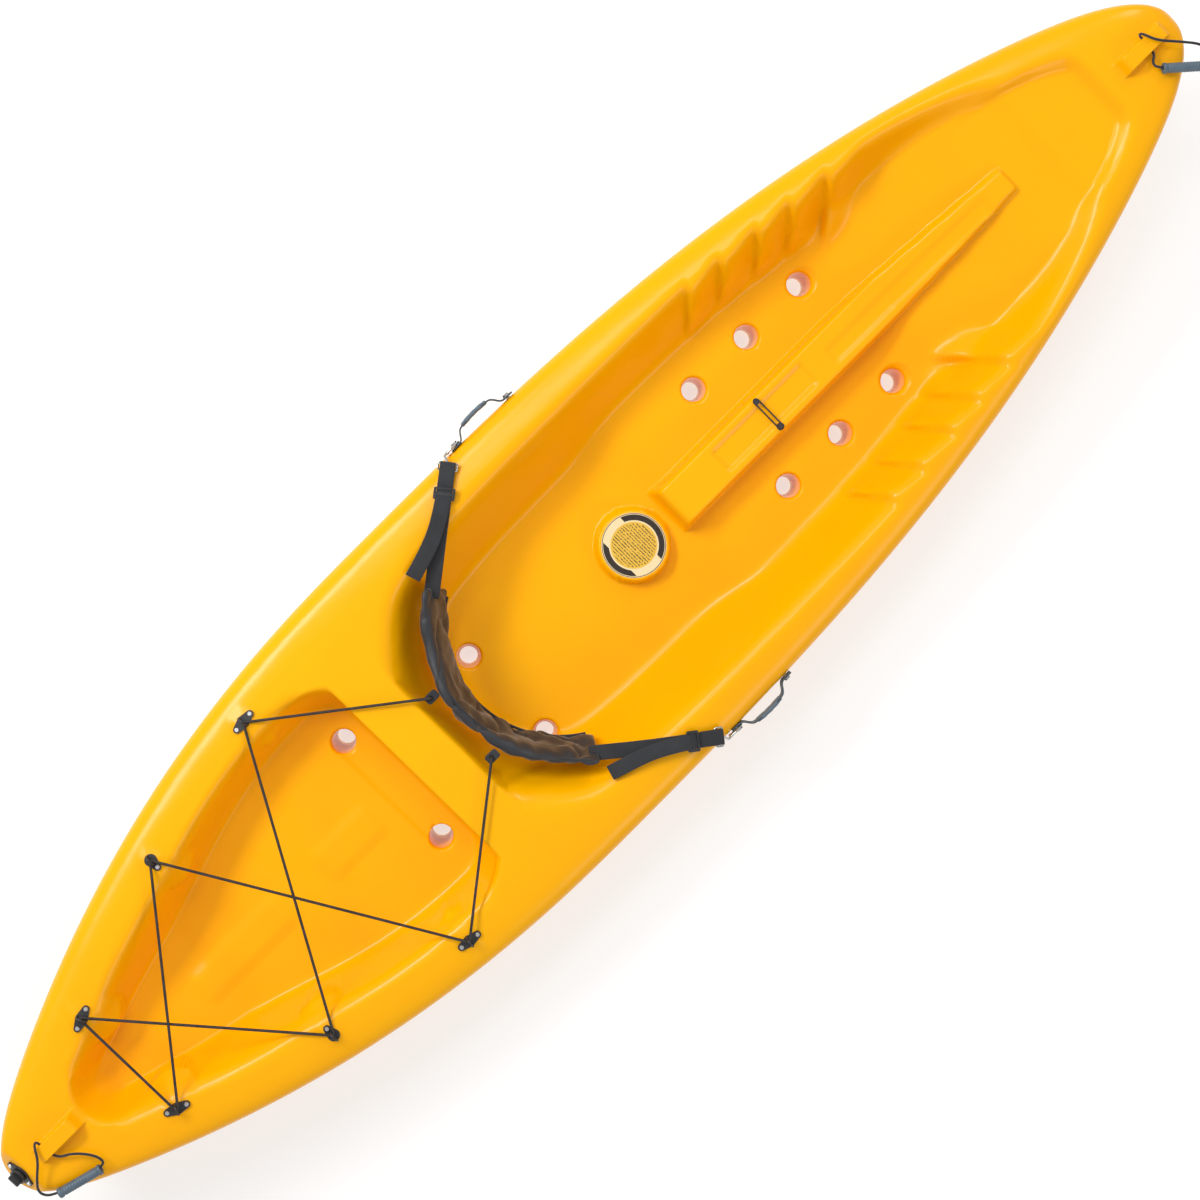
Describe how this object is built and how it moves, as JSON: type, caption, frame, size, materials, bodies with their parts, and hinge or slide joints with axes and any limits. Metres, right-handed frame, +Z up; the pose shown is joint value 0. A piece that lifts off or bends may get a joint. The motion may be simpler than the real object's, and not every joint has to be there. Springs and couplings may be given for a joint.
{
  "type": "kayak",
  "caption": "One-person sit-on-top kayak with moulded seat, footwells and tank well, scupper holes, strap backrest, laced deck bungee, side handles, end toggles and drain plug.",
  "frame": {"origin": "under the middle of the hull's length, on the ground that the flat of the keel rests on", "axes": "+X points to the bow, +Y to port, +Z up"},
  "size_m": [2.856, 0.7554, 0.3339],
  "materials": {
    "moulded_polyethylene": "satin",
    "black_plastic": "satin",
    "grip_plastic": "satin",
    "webbing": "woven",
    "handle_webbing": "woven",
    "pad_fabric": "matt",
    "elastic_cord": "woven",
    "toggle_rope": "braided",
    "stainless": "polished",
    "rivet_aluminium": "satin",
    "insert_brass": "machined",
    "seal_rubber": "matt",
    "decal_film": "gloss"
  },
  "bodies": {
    "hull": {"hull": "moulded_polyethylene", "drain_flange": "black_plastic", "drain_rivets": "rivet_aluminium", "bow_toggle_cord": "toggle_rope", "stern_toggle_cord": "toggle_rope", "deck_bungee": "elastic_cord", "bungee_tail_port": "elastic_cord", "bungee_tail_starboard": "elastic_cord", "handle_ends_port": "handle_webbing", "handle_ends_starboard": "handle_webbing", "handle_washer_port": "stainless", "handle_washer_starboard": "stainless", "handle_screw_port": "stainless", "handle_screw_starboard": "stainless", "hook_stud_port": "stainless", "hook_stud_starboard": "stainless", "handle_inserts_port": "insert_brass", "handle_inserts_starboard": "insert_brass", "deck_eye_front_port": "black_plastic", "deck_eye_front_starboard": "black_plastic", "deck_eye_middle_port": "black_plastic", "deck_eye_middle_starboard": "black_plastic", "deck_eye_rear_port": "black_plastic", "deck_eye_rear_starboard": "black_plastic", "eye_rivets_port": "rivet_aluminium", "eye_rivets_starboard": "rivet_aluminium", "keeper_button": "black_plastic", "keeper_grommet": "black_plastic", "keeper_knot": "elastic_cord", "keeper_cord": "elastic_cord", "round_decal": "decal_film"},
    "drain_seal": {"drain_seal": "seal_rubber"},
    "drain_plug": {"drain_plug": "black_plastic"},
    "bow_toggle": {"bow_toggle_grip": "grip_plastic"},
    "stern_toggle": {"stern_toggle_grip": "grip_plastic"},
    "port_handle": {"handle_grip_port": "grip_plastic"},
    "starboard_handle": {"handle_grip_starboard": "grip_plastic"},
    "backrest": {"backrest_pad": "pad_fabric", "backrest_tab_port": "webbing", "backrest_tab_starboard": "webbing", "backrest_strap_port": "webbing", "backrest_strap_starboard": "webbing", "strap_tail_port": "webbing", "strap_tail_starboard": "webbing", "strap_slider_port": "black_plastic", "strap_slider_starboard": "black_plastic", "snap_hook_port": "stainless", "snap_hook_starboard": "stainless", "gate_pin_port": "stainless", "gate_pin_starboard": "stainless"},
    "port_gate": {"hook_gate_port": "stainless"},
    "starboard_gate": {"hook_gate_starboard": "stainless"}
  },
  "joints": [
    {"name": "backrest_lift", "type": "hinge", "parent": "hull", "child": "backrest", "pos_m": [0.022, 0, 0.182], "axis": [0, 1, 0], "range_deg": [0, 45], "deforming": ["bungee_tail_port", "bungee_tail_starboard"]},
    {"name": "port_handle_swing", "type": "hinge", "parent": "hull", "child": "port_handle", "pos_m": [0.085, 0.35369, 0.182], "axis": [1, 0, 0], "range_deg": [-30, 50], "stiffness_Nm_per_rad": 0.05, "deforming": ["handle_ends_port"]},
    {"name": "starboard_handle_swing", "type": "hinge", "parent": "hull", "child": "starboard_handle", "pos_m": [0.085, -0.35369, 0.182], "axis": [-1, 0, 0], "range_deg": [-30, 50], "stiffness_Nm_per_rad": 0.05, "deforming": ["handle_ends_starboard"]},
    {"name": "bow_toggle_swing", "type": "hinge", "parent": "hull", "child": "bow_toggle", "pos_m": [1.352, 0, 0.3143], "axis": [-1, 0, 0], "range_deg": [0, 170], "deforming": ["bow_toggle_cord"]},
    {"name": "stern_toggle_swing", "type": "hinge", "parent": "hull", "child": "stern_toggle", "pos_m": [-1.336, 0, 0.3082], "axis": [-1, 0, 0], "range_deg": [0, 170], "deforming": ["stern_toggle_cord"]},
    {"name": "drain_travel", "type": "slide", "parent": "hull", "child": "drain_seal", "axis": [-0.7071, 0, 0.7071], "range_m": [0, 0.0096]},
    {"name": "drain_turn", "type": "hinge", "parent": "drain_seal", "child": "drain_plug", "pos_m": [-1.405, 0, 0.282], "axis": [-0.7071, 0, 0.7071], "range_deg": [0, 1080]},
    {"name": "port_gate_open", "type": "hinge", "parent": "backrest", "child": "port_gate", "pos_m": [0.0025, 0.35789, 0.18709], "axis": [0, -1, 0], "range_deg": [0, 22], "stiffness_Nm_per_rad": 0.02, "springref_deg": -11.46},
    {"name": "starboard_gate_open", "type": "hinge", "parent": "backrest", "child": "starboard_gate", "pos_m": [0.0025, -0.35789, 0.18709], "axis": [0, -1, 0], "range_deg": [0, 22], "stiffness_Nm_per_rad": 0.02, "springref_deg": -11.46}
  ],
  "couplings": [
    {"joint": "drain_turn", "follows": "drain_travel", "rad_per_m": 1963.5}
  ]
}
